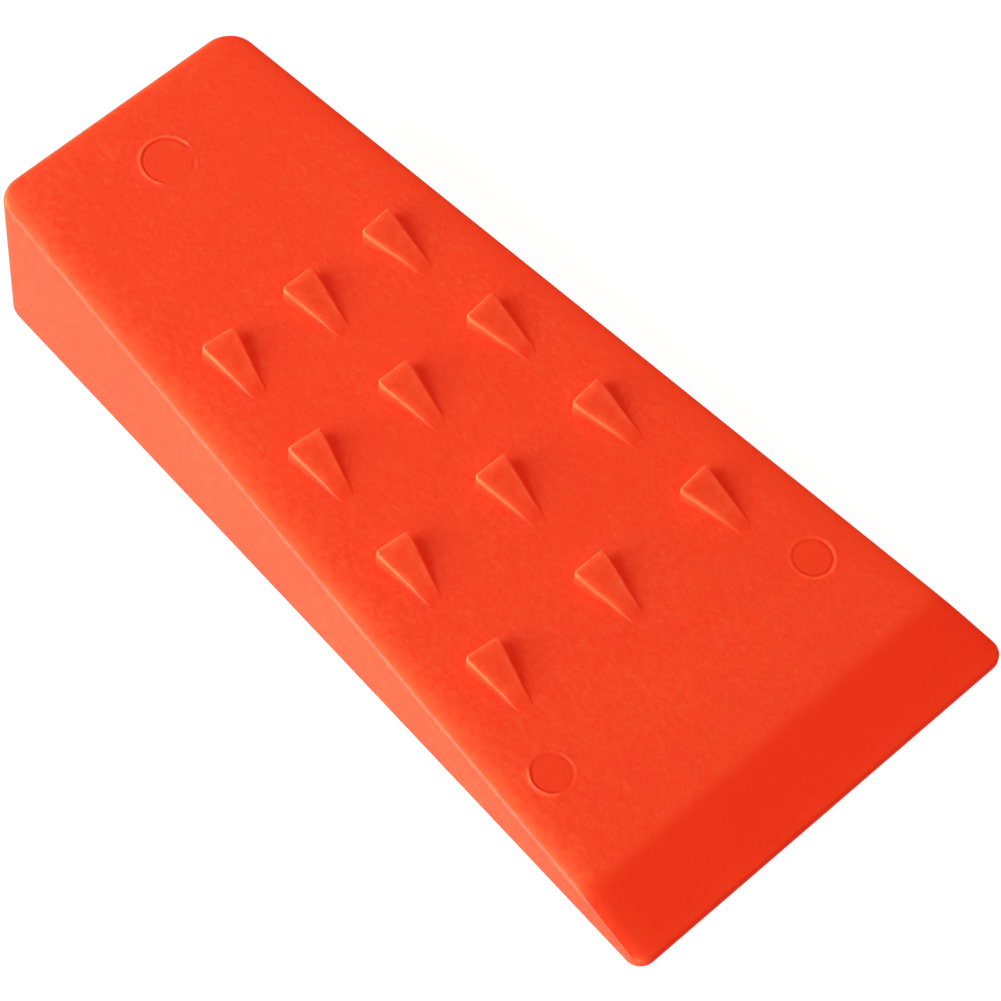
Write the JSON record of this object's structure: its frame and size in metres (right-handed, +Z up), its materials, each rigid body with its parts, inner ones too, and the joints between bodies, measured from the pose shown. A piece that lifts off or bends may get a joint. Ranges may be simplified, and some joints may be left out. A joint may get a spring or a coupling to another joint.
{
  "type": "felling wedge",
  "caption": "Short, wide tapered plastic wedge with a thick striking end, a bevelled blunt tip and rows of ramped grip barbs on its upper face.",
  "frame": {"origin": "middle of the flat underside, below the centre of the bounding box", "axes": "+X from the striking end to the tip, +Y across the wedge to the left seen from the striking end, +Z up out of the underside"},
  "size_m": [0.1396, 0.0684, 0.0254],
  "materials": {
    "wedge_plastic": "bright orange-red injection-moulded plastic with a fine satin grain on the barbed face and smoother sides and tip bevel"
  },
  "bodies": {
    "root": {"wedge_body": "wedge_plastic", "barb_1_right": "wedge_plastic", "barb_1_mid": "wedge_plastic", "barb_1_left": "wedge_plastic", "barb_2_right": "wedge_plastic", "barb_2_mid": "wedge_plastic", "barb_2_left": "wedge_plastic", "barb_3_right": "wedge_plastic", "barb_3_mid": "wedge_plastic", "barb_3_left": "wedge_plastic", "barb_4_right": "wedge_plastic", "barb_4_mid": "wedge_plastic", "barb_4_left": "wedge_plastic"}
  },
  "joints": []
}
